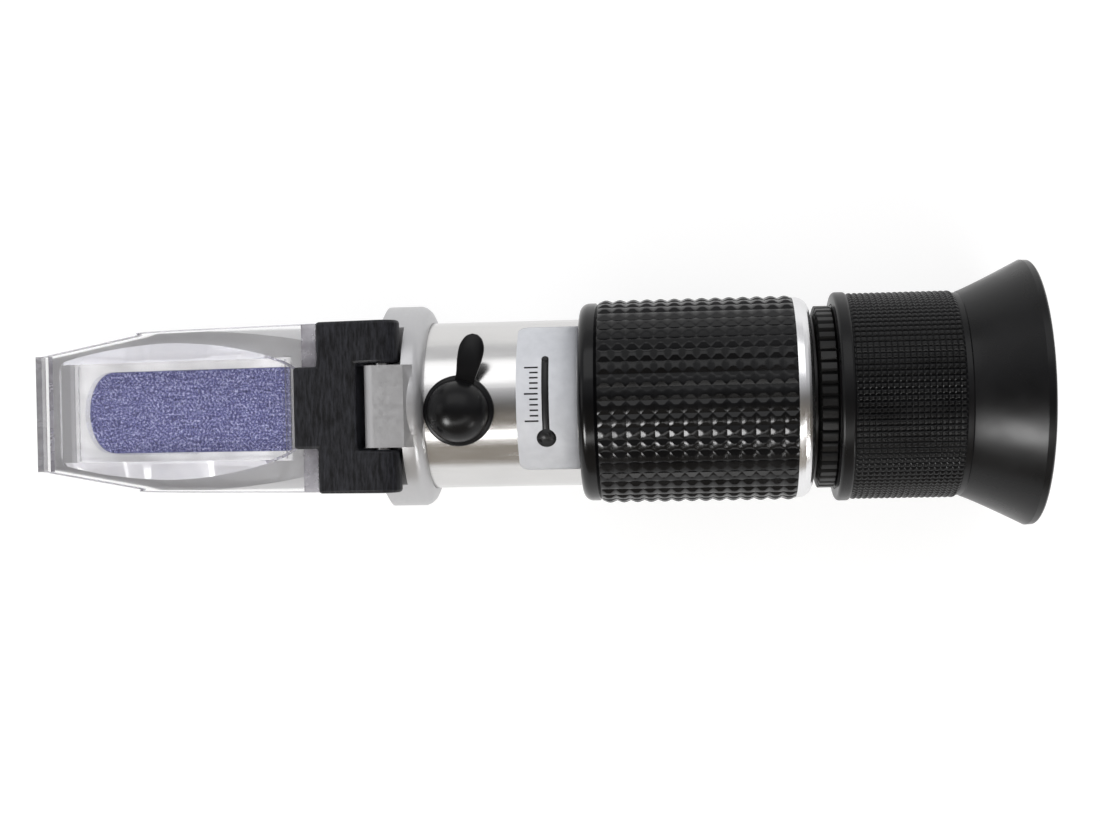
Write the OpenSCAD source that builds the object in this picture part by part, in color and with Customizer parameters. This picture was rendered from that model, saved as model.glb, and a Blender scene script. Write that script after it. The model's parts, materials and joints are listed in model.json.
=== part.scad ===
// Handheld refractometer with temperature compensation.
// X runs along the optical axis, +X to the eye, and +Z points to the daylight plate's side.
// The origin is on the optical axis, halfway between the plate's tip and the eyecup's rim.

/* [Overall] */
// Length from the tip of the daylight plate to the rim of the eyecup
overall_l = 158.6; // [158:0.1:160]
// Diameter of the eyecup's rim
eyecup_d = 41.4; // [40:0.1:43]

/* [Tube and grip] */
// Outer diameter of the body tube
tube_d = 26.4; // [26.2:0.1:26.6]
// Wall of the body tube
tube_wall = 1.4; // [1.3:0.1:1.5]
// Length of bare tube between the collar and the grip
bare_tube_l = 23.6; // [22:0.1:24]
// Length of the grip sleeve
grip_l = 33.2; // [32:0.1:34]
// Diameter over the grip sleeve
grip_d = 32.2; // [31:0.1:33]
// Length of the metal ring behind the grip
rear_ring_l = 2.5; // [2:0.1:3]

/* [Collar and housing] */
// Diameter of the housing's collar
collar_d = 31.9; // [31.6:0.1:32.2]
// Length of the collar
collar_l = 8.1; // [8:0.1:8.3]
// Slope of the prism's face against the optical axis
slope = 12; // [11.5:0.5:12.5]
// Width of the flats that the part rests on, under the collar and under the eyecup's rim
rest_flat_w = 4.2; // [3.8:0.1:4.6]

/* [Daylight plate] */
// Width of the plate and its bracket at the hinge
plate_w = 26.2; // [25.8:0.1:26.4]
// Width of the plate at its tip
plate_tip_w = 18.8; // [18:0.1:20]
// Thickness of the plate
plate_t = 1.6; // [1.4:0.1:1.8]
// Width of the prism's window
window_w = 13.2; // [12.6:0.1:13.4]

/* [Hinge] */
// Height of the hinge pin above the optical axis
pin_z = 13.4; // [13.3:0.1:13.5]
// Diameter of the hinge pin
pin_d = 2.2; // [1.8:0.1:2.4]
// Width of the lug between the bracket's arms
lug_w = 12.5; // [12:0.1:12.5]

/* [Calibration] */
// Roll of the calibration screw's axis about the tube
screw_roll = 4; // [3:0.5:5]
// Diameter of the calibration screw's thread
screw_d = 2.5; // [2.3:0.1:2.6]
// Diameter of the rubber plug's flange
plug_d = 10.9; // [10:0.1:11.2]
// Diameter of the objective lens
objective_d = 11; // [10:0.1:11]

/* [Eyepiece] */
// Length of the eyecup
eyecup_l = 30.3; // [30:0.1:30.6]
// Diameter of the eyecup's knurled part
cup_grip_d = 32.4; // [32:0.1:33]
// Diameter of the ribbed focus ring
focus_ring_d = 28.6; // [28:0.1:28.8]
// Diameter of the bore in the barrel's mouth
mouth_d = 20; // [19.5:0.1:20.5]
// Diameter of the eyepiece lenses
lens_d = 17; // [16.6:0.1:17]

/* [Hidden] */

// Clearances: of a running or nested fit, and between pieces that pass each other
fit = 0.05;
gap = 0.3;
// Length that a cutting tool runs past a face
past = 1;
// Reach of a tool that clears everything on one side
far = 60;

// Stations along the axis, counted forward from the eyecup's rim
rim_x = overall_l / 2;
cup_front_x = rim_x - eyecup_l;
focus_front_x = cup_front_x - 3;
guide_rear_x = focus_front_x - gap;
tube_rear_x = guide_rear_x - 0.4;
ring_front_x = tube_rear_x - rear_ring_l;
grip_front_x = ring_front_x - grip_l;
collar_rear_x = grip_front_x - bare_tube_l;
collar_front_x = collar_rear_x - collar_l;
pin_x = collar_front_x + 1.8;
screw_x = collar_rear_x + 5.4;
seat_x = pin_x + 3.4;

// Radii
tube_r = tube_d / 2;
bore_r = tube_r - tube_wall;
collar_r = collar_d / 2;
pin_r = pin_d / 2;
rim_r = eyecup_d / 2;

// Hinge: height of the pin above the prism's face, and the radii about the pin
pin_rise = 2;
arm_r = 2.8;
wall_reach = 3.3;
lug_reach = 3;
lug_top_z = pin_z + 2.9;
arm_in_y = lug_w / 2 + 0.35;
arm_out_y = plate_w / 2 + 0.05;

// Plate: heights over the prism's face, and distances from the pin down the slope
film = 0.1;
pad_h = 0.5;
block_h = 1.2;
plate_low = film + pad_h;
plate_high = plate_low + plate_t;
block_top = plate_high + block_h;
bracket_low = 0.3;
bracket_high = pin_rise + arm_r;
tip_s = (rim_x + pin_x - (block_top - pin_rise) * sin(slope)) / cos(slope);
lip_s = tip_s - 2.4;
block_tip_s = tip_s - 3.6;
root_s = 10.5;
bracket_s = 9.75;
tab_near_s = 5;
tab_w = 11;

// Prism: distances from the pin down the slope, and the level of its floor
window_near_s = 16.3;
window_far_s = 52.4;
prism_rear_x = pin_x - window_near_s * cos(slope) + 0.3;
prism_floor_z = -5.5;
prism_side = 0.4;
bezel_t = 0.7;
bezel_w = 16.3;
bezel_far_s = 55;
gasket_t = 0.6;
prism_w = window_w + 2 * prism_side;
pocket_w = prism_w + 2 * gasket_t;

// Calibration: levels along the screw's axis
carriage_r = 9.6;
carriage_l = 6;
carriage_top = 8.6;
bush_r = 3.3;
bush_low = carriage_top + 0.6;
bush_high = 12.7;
bush_floor = bush_low + 1.4;
recess_r = 2.4;
head_r = 2.1;
head_low = bush_floor + 0.35;
head_high = head_low + 0.8;
tip_low = 6.6;
strip_low = -11.6;
strip_t = 0.6;
strip_top = strip_low + strip_t;
spring_seat = -7;
spring_r = 1.35;
wire_r = 0.25;
flange_high = 14;
dome_high = 18.5;
baffle_r = 6.75;
set_screw_angle = 50;

// Bimetal strip: its fixing screw's station and radius
strip_screw_x = grip_front_x + 3;
strip_hole_r = 0.85;

// Eyepiece: stations and radii
cell_r = 9.6;
insert_r = 10.75;
barrel_r = 14.5;
lens_r = lens_d / 2;
barrel_front_x = focus_front_x - 11;
guide_front_x = barrel_front_x + 3.5;
flange_rear_x = barrel_front_x - 0.5;
flange_front_x = flange_rear_x - 3.5;
field_x = barrel_front_x + 2.5;
eye_x = field_x + 16.5;
retainer_x = eye_x + 4.5;
shoulder_x = retainer_x + 3.8;
barrel_rear_x = rim_x - 11.3;
mouth_l = 4.5;
key_w = 2;
key_r = 10.95;

// Reticle
reticle_x = grip_front_x + 9.4;
reticle_r = 9.5;
reticle_t = 1.6;
reticle_lip_r = 8.5;

$fn = 96;

// A solid of revolution about the optical axis: points are [radius, station]
module turned(points) {
    rotate([0, 90, 0])
        rotate_extrude()
            polygon(points);
}

// A disc or plug about the optical axis
module round_bar(r, x0, x1) {
    translate([x0, 0, 0])
        rotate([0, 90, 0])
            cylinder(r = r, h = x1 - x0);
}

// A plain ring about the optical axis
module round_ring(r_in, r_out, x0, x1) {
    difference() {
        round_bar(r_out, x0, x1);
        round_bar(r_in, x0 - past, x1 + past);
    }
}

// A box from its lowest to its highest corner
module span_box(low, high) {
    translate(low)
        cube(high - low);
}

// Everything below the chord of a round of this radius, where it is as wide as the rest flat
module below_rest_flat(r, x0, x1) {
    span_box([x0, -far, -far], [x1, far, -sqrt(r * r - rest_flat_w * rest_flat_w / 4)]);
}

// A cylinder along Y, centred on the XZ plane
module cross_bar(r, w, x, z) {
    translate([x, w / 2, z])
        rotate([90, 0, 0])
            cylinder(r = r, h = w);
}

// The frame of the slope: its origin is under the pin on the prism's face, -X runs down to
// the tip and Z stands square on the face
module on_slope() {
    translate([pin_x, 0, pin_z])
        rotate([0, -slope, 0])
            translate([0, 0, -pin_rise])
                children();
}

// A plate on the slope, drawn as [distance from the pin, half width] from tip to hinge
module slope_plate(half, low, high) {
    outline = concat([for (p = half) [-p[0], p[1]]],
                     [for (i = [len(half) - 1 : -1 : 0]) [-half[i][0], -half[i][1]]]);
    translate([0, 0, low])
        linear_extrude(high - low)
            polygon(outline);
}

// The frame of the calibration screw: Z is the screw's axis, pointing out of the tube
module on_screw_axis() {
    translate([screw_x, 0, 0])
        rotate([screw_roll, 0, 0])
            children();
}

// Half widths of the plate from its tip to its root
plate_half = [[tip_s, plate_tip_w / 2], [tip_s - 9.4, 10.95], [tip_s - 17.6, 12.3],
              [tip_s - 20.1, plate_w / 2 - 0.2], [root_s, plate_w / 2]];

// Half widths of the raised block, widest in its middle and closing at the hinge
block_half = [[block_tip_s, 8.4], [block_tip_s - 8, 9.9], [block_tip_s - 15, 10.7],
              [block_tip_s - 20, 10.9], [block_tip_s - 26, 10.6], [block_tip_s - 33, 9.6],
              [block_tip_s - 39, 7.9], [block_tip_s - 43.4, 5.6]];

// The trough's outside: a round bar that rises to the tip, inside the plate's outline.
// It starts inside the collar.
module trough_blank() {
    rise = 3.9;
    inset = 0.3;
    in_collar = 5;
    outline = concat([for (p = plate_half) [p[0] - inset, p[1] - inset]],
                     [[-in_collar, plate_w / 2 - inset]]);
    intersection() {
        translate([collar_front_x + in_collar, 0, 0])
            rotate([0, -90 + rise, 0])
                cylinder(r = tube_r - 0.25, h = far + in_collar);
        on_slope()
            slope_plate(outline, -far, -film);
    }
}

module collar_blank() {
    turned([[bore_r - 3, collar_front_x], [collar_r - 2.2, collar_front_x],
            [collar_r, collar_front_x + 1.3], [collar_r, collar_rear_x - 1.7],
            [collar_r - 0.25, collar_rear_x - 1.1], [collar_r - 0.8, collar_rear_x - 0.5],
            [collar_r - 1.6, collar_rear_x - 0.12], [collar_r - 2.4, collar_rear_x],
            [bore_r - 3, collar_rear_x]]);
}

// The lug is round about the pin in front and cut at a slant behind
module lug_blank() {
    front_x = pin_x - 2.4;
    rear_x = collar_rear_x - 1.4;
    foot_z = pin_z - 5;
    slant = 1.7;
    difference() {
        intersection() {
            union() {
                cross_bar(lug_reach, lug_w, pin_x, pin_z);
                span_box([pin_x, -lug_w / 2, foot_z], [rear_x, lug_w / 2, lug_top_z]);
                span_box([front_x, -lug_w / 2, foot_z], [pin_x, lug_w / 2, pin_z]);
            }
            span_box([front_x, -lug_w, 0], [far, lug_w, lug_top_z]);
        }
        translate([rear_x, 0, lug_top_z])
            rotate([0, 45, 0])
                cube([slant, lug_w + past, slant], center = true);
    }
}

// Room for the bracket's arms on both sides of the lug, with a sloped floor in front
module arm_notches() {
    half_w = 10;
    floor_from_s = 5.2;
    floor_to_s = 1.6;
    floor_low = pin_rise - arm_r - gap - 0.1;
    for (side = [-1, 1])
        translate([0, side * (lug_w / 2 + fit + half_w), 0]) {
            span_box([collar_front_x - past, -half_w, pin_z - arm_r - gap],
                     [pin_x + arm_r + gap, half_w, far]);
            on_slope()
                span_box([-floor_from_s, -half_w, floor_low], [-floor_to_s, half_w, far]);
        }
}

// The hollow that holds the prism, wider and deeper than it by the margin
module prism_form(margin) {
    intersection() {
        on_slope()
            span_box([-window_far_s - 0.6 - margin, -prism_w / 2 - margin, -far],
                     [0, prism_w / 2 + margin, -film - bezel_t - fit + margin]);
        span_box([-far * 2, -far, prism_floor_z - margin],
                 [prism_rear_x + margin, far, far]);
    }
}

// The window's outline, with its far end rounded and its near end open
module window_form(low, high, margin) {
    round_l = 4.5;
    half = window_w / 2 + margin;
    arc = [for (a = [0 : 10 : 90])
           [window_far_s + margin - round_l * (1 - cos(a)), half * sin(a)]];
    slope_plate(concat(arc, [[window_near_s - margin - past, half]]), low, high);
}

module prism_housing() {
    screw_r = 0.95;
    color("gainsboro")
        difference() {
            union() {
                trough_blank();
                collar_blank();
                lug_blank();
                round_bar(bore_r - fit, seat_x - 2, collar_rear_x + 0.5);
            }
            arm_notches();
            prism_form(gasket_t);
            on_slope()
                span_box([-bezel_far_s - fit, -bezel_w / 2 - fit, -film - bezel_t - fit],
                         [-window_near_s + fit, bezel_w / 2 + fit, far]);
            round_bar(baffle_r + fit, prism_rear_x - past, far);
            difference() {
                round_bar(tube_r + fit, seat_x - fit, collar_rear_x + past);
                round_bar(bore_r - fit, seat_x - past, collar_rear_x + past);
            }
            cross_bar(pin_r + fit, lug_w + past, pin_x, pin_z);
            below_rest_flat(collar_r, collar_front_x - past, collar_rear_x + past);
            on_set_screws()
                translate([0, 0, tube_r - 0.5])
                    cylinder(r = screw_r, h = 5);
        }
}

// The frames of the two screws that grip the tube, pointing out through the collar
module on_set_screws() {
    for (a = [-set_screw_angle, set_screw_angle])
        translate([seat_x + 1, 0, 0])
            rotate([180 + a, 0, 0])
                children();
}

module prism() {
    color([0.45, 0.45, 0.7])
        union() {
            prism_form(0);
            intersection() {
                on_slope()
                    window_form(-film - bezel_t - 2 * fit, -film, -fit);
                span_box([-far * 2, -far, -far], [prism_rear_x, far, far]);
            }
        }
}

module prism_bezel() {
    color("whitesmoke")
        on_slope()
            difference() {
                span_box([-bezel_far_s, -bezel_w / 2, -film - bezel_t],
                         [-window_near_s, bezel_w / 2, -film]);
                window_form(-film - bezel_t - past, past, 0);
            }
}

module prism_gasket() {
    light_w = 11;
    color("dimgray")
        difference() {
            prism_form(gasket_t - fit);
            prism_form(fit);
            on_slope()
                span_box([-far * 2, -far, -film - bezel_t - fit], [far, far, far]);
            span_box([prism_rear_x - past, -light_w / 2, prism_floor_z + past],
                     [far, light_w / 2, light_w / 2]);
        }
}

module light_baffle() {
    hole_r = 4.5;
    wall_r = 6.2;
    color([0.1, 0.1, 0.1])
        turned([[hole_r, seat_x - 2], [baffle_r, seat_x - 2], [baffle_r, collar_rear_x + 0.3],
                [wall_r, collar_rear_x + 0.3], [wall_r, seat_x - 1.4],
                [hole_r, seat_x - 1.4]]);
}

module main_tube() {
    color("silver")
        difference() {
            round_ring(bore_r, tube_r, seat_x, tube_rear_x);
            on_screw_axis()
                cylinder(r = bush_r + fit, h = far);
            on_strip_screw()
                translate([0, 0, -tube_r - past])
                    cylinder(r = strip_hole_r, h = 2 * past + tube_wall);
        }
}

module collar_set_screws() {
    screw_r = 0.9;
    screw_l = 2.1;
    socket_r = 0.45;
    socket_low = 1;
    color("dimgray")
        on_set_screws()
            translate([0, 0, tube_r + fit])
                difference() {
                    cylinder(r = screw_r, h = screw_l);
                    translate([0, 0, socket_low])
                        cylinder(r = socket_r, h = screw_l, $fn = 6);
                }
}

module screw_bush() {
    flange_r = 4.2;
    flange_t = 1.7;
    color("goldenrod")
        on_screw_axis()
            difference() {
                union() {
                    translate([0, 0, bush_low])
                        cylinder(r = bush_r, h = bush_high - bush_low);
                    translate([0, 0, bush_low])
                        cylinder(r = flange_r, h = flange_t);
                }
                cylinder(r = screw_d / 2 + fit, h = far);
                translate([0, 0, bush_floor])
                    cylinder(r = recess_r, h = far);
            }
}

module calibration_screw() {
    slot_w = 0.5;
    slot_deep = 0.4;
    color("silver")
        on_screw_axis()
            difference() {
                union() {
                    translate([0, 0, tip_low])
                        cylinder(r = screw_d / 2, h = head_low - tip_low + fit);
                    translate([0, 0, head_low])
                        cylinder(r = head_r, h = head_high - head_low);
                }
                span_box([-head_r - past, -slot_w / 2, head_high - slot_deep],
                         [head_r + past, slot_w / 2, far]);
            }
}

module lens_carriage() {
    front_x = -carriage_l / 2;
    spring_room = 0.25;
    color([0.15, 0.15, 0.15])
        on_screw_axis()
            difference() {
                round_bar(carriage_r, front_x, -front_x);
                span_box([-far, -far, carriage_top], [far, far, far]);
                round_bar(objective_d / 2 - 0.6, front_x - past, far);
                round_bar(objective_d / 2 + fit, front_x + 0.8, far);
                translate([0, 0, tip_low - 0.1])
                    cylinder(r = screw_d / 2 + fit, h = far);
                translate([0, 0, -far])
                    cylinder(r = spring_r + wire_r + spring_room, h = far + spring_seat);
            }
}

// A lens with two round faces, centred on the origin of its frame
module lens(r, mid_t, edge_t) {
    bulge = (mid_t - edge_t) / 2;
    ball_r = (r * r + bulge * bulge) / (2 * bulge);
    spread = asin(r / ball_r);
    face = [for (i = [0 : 6])
            let (a = spread * i / 6)
            [ball_r * sin(a), mid_t / 2 - ball_r * (1 - cos(a))]];
    turned(concat(face, [for (i = [6 : -1 : 0]) [face[i][0], -face[i][1]]]));
}

module objective_lens() {
    color([0.8, 0.9, 1, 0.5])
        on_screw_axis()
            lens(objective_d / 2, 3.4, 2.2);
}

module objective_ring() {
    color([0.15, 0.15, 0.15])
        on_screw_axis()
            round_ring(objective_d / 2 - 0.9, objective_d / 2, 1.3, carriage_l / 2);
}

// A closed coil of round wire between two levels of the screw's axis
module return_spring() {
    turns = 4;
    steps = 16;
    sides = 8;
    seat_gap = 0.05;
    low = strip_top + wire_r;
    high = spring_seat - wire_r - seat_gap;
    count = turns * steps;
    rings = [for (i = [0 : count]) for (k = [0 : sides - 1])
             let (a = 360 * i / steps, b = 360 * k / sides, r = spring_r + wire_r * cos(b))
             [r * cos(a), r * sin(a), low + (high - low) * i / count + wire_r * sin(b)]];
    walls = [for (i = [0 : count - 1]) for (k = [0 : sides - 1])
             let (m = (k + 1) % sides)
             [i * sides + k, (i + 1) * sides + k, (i + 1) * sides + m, i * sides + m]];
    ends = [[for (k = [0 : sides - 1]) k],
            [for (k = [sides - 1 : -1 : 0]) count * sides + k]];
    color("silver")
        on_screw_axis()
            polyhedron(points = rings, faces = concat(walls, ends), convexity = 6);
}

// The frame of the screw that holds the bimetal strip, square under the tube
module on_strip_screw() {
    translate([strip_screw_x, 0, 0])
        rotate([screw_roll, 0, 0])
            children();
}

module bimetal_strip() {
    strip_w = 4;
    end_l = 2.4;
    color("darkgoldenrod")
        difference() {
            rotate([screw_roll, 0, 0])
                span_box([screw_x - end_l, -strip_w / 2, strip_low],
                         [strip_screw_x + end_l, strip_w / 2, strip_top]);
            on_strip_screw()
                translate([0, 0, -far])
                    cylinder(r = strip_hole_r, h = far);
        }
}

module strip_screw() {
    screw_head_r = 1.5;
    screw_head_t = 0.9;
    slot_w = 0.4;
    color("silver")
        on_strip_screw()
            difference() {
                union() {
                    translate([0, 0, strip_top])
                        cylinder(r = screw_head_r, h = screw_head_t);
                    translate([0, 0, -tube_r + 0.1])
                        cylinder(r = strip_hole_r - fit, h = strip_top + tube_r);
                }
                span_box([-screw_head_r - past, -slot_w / 2, strip_top + screw_head_t / 2],
                         [screw_head_r + past, slot_w / 2, 0]);
            }
}

module calibration_plug() {
    flange_r = plug_d / 2;
    dome_r = flange_r - 0.65;
    stem_r = recess_r - 0.07;
    stem_low = head_high + 0.55;
    tail_low = 13.2;
    tail_t = 1.2;
    tail_lean = 14;
    color([0.08, 0.08, 0.08]) {
        on_screw_axis()
            difference() {
                union() {
                    rotate_extrude()
                        polygon(concat([[0, stem_low], [stem_r, stem_low], [stem_r, 13],
                                        [flange_r, 12], [flange_r, flange_high - 0.4],
                                        [flange_r - 0.4, flange_high]],
                                       [for (a = [0 : 10 : 90])
                                        [dome_r * cos(a),
                                         flange_high + (dome_high - flange_high) * sin(a)]]));
                    rotate([0, 0, -tail_lean])
                        translate([0, 0, tail_low])
                            linear_extrude(tail_t)
                                polygon([[-1.5, 3], [1.5, 3], [1.9, 7], [1.9, 10], [1, 12],
                                         [-1, 12], [-1.9, 10], [-1.9, 7]]);
                }
                difference() {
                    translate([-far / 2, 0, 0])
                        rotate([0, 90, 0])
                            cylinder(r = tube_r + fit, h = far);
                    cylinder(r = stem_r, h = far);
                }
            }
    }
}

module label() {
    label_t = 0.1;
    up_angle = 63;
    down_angle = 51;
    label_l = 9.3;
    glue_t = 0.02;
    end_gap = 0.1;
    reach = 30;
    color("white")
        intersection() {
            round_ring(tube_r + glue_t, tube_r + glue_t + label_t,
                       grip_front_x - label_l - end_gap, grip_front_x - end_gap);
            rotate([90, 0, 90])
                linear_extrude(grip_front_x)
                    polygon([[0, 0], [reach * sin(up_angle), reach * cos(up_angle)],
                             [reach, reach], [-reach, reach],
                             [-reach * sin(down_angle), reach * cos(down_angle)]]);
        }
}

module reticle_holder() {
    holder_rear_x = reticle_x + 4;
    color([0.15, 0.15, 0.15])
        turned([[reticle_lip_r, reticle_x - 2], [bore_r - fit, reticle_x - 2],
                [bore_r - fit, holder_rear_x], [reticle_r + fit, holder_rear_x],
                [reticle_r + fit, reticle_x], [reticle_lip_r, reticle_x]]);
}

module reticle() {
    color([0.85, 0.95, 1, 0.5])
        round_bar(reticle_r, reticle_x, reticle_x + reticle_t);
}

module reticle_ring() {
    ring_x = reticle_x + reticle_t;
    ring_l = 2;
    color([0.2, 0.2, 0.2])
        round_ring(reticle_lip_r, reticle_r, ring_x, ring_x + ring_l);
}

module grip_sleeve() {
    grip_r = grip_d / 2;
    hole_r = tube_r + fit;
    lip_r = grip_r - 0.4;
    round_r = 1.6;
    color([0.06, 0.06, 0.06])
        turned(concat([[hole_r, grip_front_x], [lip_r - round_r, grip_front_x]],
                      [for (a = [0 : 15 : 90])
                       [lip_r - round_r * (1 - sin(a)), grip_front_x + round_r * (1 - cos(a))]],
                      [[lip_r, grip_front_x + 2.9], [grip_r, grip_front_x + 3.1],
                       [grip_r, ring_front_x], [hole_r, ring_front_x]]));
}

module rear_ring() {
    ring_r = 15.8;
    round_r = 2;
    hole_r = tube_r + fit;
    color("silver")
        turned(concat([[hole_r, ring_front_x], [ring_r, ring_front_x]],
                      [for (a = [0 : 15 : 90])
                       [ring_r - round_r * (1 - cos(a)), tube_rear_x - round_r * (1 - sin(a))]],
                      [[hole_r, tube_rear_x]]));
}

module eyepiece_guide() {
    rim_out_r = tube_r - 0.3;
    color([0.25, 0.25, 0.25])
        turned([[insert_r + fit, guide_front_x], [bore_r - fit, guide_front_x],
                [bore_r - fit, tube_rear_x], [rim_out_r, tube_rear_x],
                [rim_out_r, guide_rear_x], [insert_r + fit, guide_rear_x]]);
}

module focus_key() {
    color("goldenrod")
        difference() {
            span_box([flange_front_x - 2, -key_w / 2, -far],
                     [guide_front_x - 0.1, key_w / 2, -key_r]);
            difference() {
                round_bar(far * 2, -far, far);
                round_bar(bore_r - fit, -far * 2, far * 2);
            }
        }
}

module lens_cell() {
    color([0.12, 0.12, 0.12])
        difference() {
            union() {
                round_bar(cell_r, flange_front_x, retainer_x + 3.5);
                round_bar(bore_r - 0.1, flange_front_x, flange_rear_x);
            }
            round_bar(lens_r - 1, flange_front_x - past, far * 2);
            round_bar(lens_r + fit, field_x, far * 2);
            span_box([flange_front_x - past, -key_w / 2 - gap, -far],
                     [flange_rear_x + past, key_w / 2 + gap, -key_r + gap]);
        }
}

module field_lens() {
    color([0.8, 0.9, 1, 0.5])
        translate([field_x + 2, 0, 0])
            lens(lens_r, 4, 2.4);
}

module lens_spacer() {
    color([0.1, 0.1, 0.1])
        round_ring(lens_r - 0.7, lens_r, field_x + 3.45, eye_x + 0.65);
}

module eye_lens() {
    color([0.8, 0.9, 1, 0.5])
        translate([eye_x + 2.25, 0, 0])
            lens(lens_r, 4.5, 2.6);
}

module lens_retainer() {
    color([0.12, 0.12, 0.12])
        round_ring(lens_r - 1, lens_r, eye_x + 3.9, retainer_x + 3.2);
}

module eyepiece_barrel() {
    ring_r = focus_ring_d / 2;
    mouth_x = barrel_rear_x - mouth_l;
    color([0.1, 0.1, 0.1])
        turned([[cell_r + fit, barrel_front_x], [insert_r, barrel_front_x],
                [insert_r, focus_front_x], [ring_r, focus_front_x],
                [ring_r, cup_front_x - 0.1], [barrel_r, cup_front_x - 0.1],
                [barrel_r, barrel_rear_x], [mouth_d / 2, barrel_rear_x],
                [mouth_d / 2, mouth_x], [lens_r - 0.3, mouth_x],
                [lens_r - 0.3, shoulder_x], [cell_r + fit, shoulder_x]]);
}

module eyecup() {
    hole_r = barrel_r + fit;
    grip_r = cup_grip_d / 2;
    cone_x = rim_x - 10.9;
    throat_r = 12.5;
    color([0.07, 0.07, 0.07])
        difference() {
            turned([[hole_r, cup_front_x], [grip_r, cup_front_x], [grip_r + 0.2, cup_front_x + 0.5],
                    [grip_r + 0.2, cup_front_x + 1.8], [grip_r, cup_front_x + 2.3],
                    [grip_r, cone_x - 1.1], [grip_r - 0.4, cone_x - 0.8],
                    [grip_r - 0.4, cone_x - 0.2], [grip_r - 0.2, cone_x], [rim_r, rim_x - 1],
                    [rim_r - 0.2, rim_x - 0.3], [rim_r - 0.7, rim_x], [rim_r - 1.1, rim_x - 0.2],
                    [rim_r - 1.4, rim_x - 0.8], [throat_r + 1.5, barrel_rear_x + 1.6],
                    [throat_r, barrel_rear_x + 1.2], [throat_r, barrel_rear_x + fit],
                    [hole_r, barrel_rear_x + fit]]);
            below_rest_flat(rim_r, cone_x, rim_x + past);
        }
}

module hinge_pin() {
    color("silver")
        cross_bar(pin_r, 2 * arm_out_y - 0.5, pin_x, pin_z);
}

module plate_bracket() {
    tongue_s = 13.7;
    tongue_w = 12.6;
    arm_w = arm_out_y - arm_in_y;
    color([0.12, 0.12, 0.14])
        difference() {
            union() {
                on_slope() {
                    span_box([-bracket_s, -arm_out_y, bracket_low],
                             [-wall_reach, arm_out_y, bracket_high]);
                    span_box([-tongue_s, -tongue_w / 2, block_top + 0.1],
                             [-wall_reach, tongue_w / 2, bracket_high]);
                }
                on_slope()
                    for (y = [-arm_out_y, arm_in_y])
                        translate([0, y + arm_w, pin_rise])
                            rotate([90, 0, 0])
                                linear_extrude(arm_w)
                                    polygon(concat([[-wall_reach - past, arm_r]],
                                                   [for (a = [90 : -10 : -90])
                                                    [arm_r * cos(a), arm_r * sin(a)]],
                                                   [[-wall_reach - past, -arm_r]]));
            }
            cross_bar(pin_r + fit / 2, 3 * plate_w, pin_x, pin_z);
            on_slope()
                span_box([-bracket_s - past, -tab_w / 2 - fit, plate_low - fit],
                         [fit - tab_near_s, tab_w / 2 + fit, plate_high + fit]);
        }
}

module daylight_plate() {
    pad_near_s = 17;
    pad_far_s = 54;
    pad_w = 15.6;
    rib_l = 2.4;
    rib_h = 0.8;
    color([0.85, 0.87, 0.95, 0.4])
        on_slope()
            union() {
                slope_plate(plate_half, plate_low, plate_high);
                span_box([-pad_far_s, -pad_w / 2, film], [-pad_near_s, pad_w / 2, plate_low]);
                slope_plate(block_half, plate_high, block_top);
                span_box([-tip_s, -plate_tip_w / 2, plate_high],
                         [-lip_s, plate_tip_w / 2, block_top]);
                span_box([-root_s - rib_l, -plate_w / 2, plate_high],
                         [-root_s, plate_w / 2, plate_high + rib_h]);
                span_box([-root_s, -tab_w / 2, plate_low],
                         [-tab_near_s, tab_w / 2, plate_high]);
            }
}

prism_housing();
prism();
prism_bezel();
prism_gasket();
light_baffle();
main_tube();
collar_set_screws();
screw_bush();
calibration_screw();
lens_carriage();
objective_lens();
objective_ring();
return_spring();
bimetal_strip();
strip_screw();
calibration_plug();
label();
reticle_holder();
reticle();
reticle_ring();
grip_sleeve();
rear_ring();
eyepiece_guide();
focus_key();
lens_cell();
field_lens();
lens_spacer();
eye_lens();
lens_retainer();
eyepiece_barrel();
eyecup();
hinge_pin();
plate_bracket();
daylight_plate();
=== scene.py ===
"""Looks of the handheld refractometer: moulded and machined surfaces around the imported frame.

X runs along the optical axis to the eye and +Z is the side of the daylight plate.
Helpers take millimetres and the meshes they make are in metres.
"""

import json
import math

import bmesh
import bpy
from mathutils import Matrix, Vector


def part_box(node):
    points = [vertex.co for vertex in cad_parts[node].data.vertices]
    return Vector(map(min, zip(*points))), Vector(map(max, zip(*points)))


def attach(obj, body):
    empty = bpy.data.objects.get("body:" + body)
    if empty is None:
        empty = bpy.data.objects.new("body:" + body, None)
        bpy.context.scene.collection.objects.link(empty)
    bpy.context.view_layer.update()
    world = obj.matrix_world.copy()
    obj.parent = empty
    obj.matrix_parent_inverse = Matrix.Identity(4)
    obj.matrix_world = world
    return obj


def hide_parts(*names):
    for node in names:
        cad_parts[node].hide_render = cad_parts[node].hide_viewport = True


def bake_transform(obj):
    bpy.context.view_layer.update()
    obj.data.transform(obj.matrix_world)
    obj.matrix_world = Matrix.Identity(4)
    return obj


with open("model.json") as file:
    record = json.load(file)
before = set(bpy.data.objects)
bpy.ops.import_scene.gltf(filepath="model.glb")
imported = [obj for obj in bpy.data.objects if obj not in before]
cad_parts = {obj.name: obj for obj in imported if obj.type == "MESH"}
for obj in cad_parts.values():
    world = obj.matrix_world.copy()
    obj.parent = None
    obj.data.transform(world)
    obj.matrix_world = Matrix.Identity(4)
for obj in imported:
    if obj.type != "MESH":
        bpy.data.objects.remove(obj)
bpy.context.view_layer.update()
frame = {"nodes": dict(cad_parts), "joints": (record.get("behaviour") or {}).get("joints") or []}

MM = 0.001
JOINTS = {joint["name"]: joint for joint in frame["joints"]}


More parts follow.
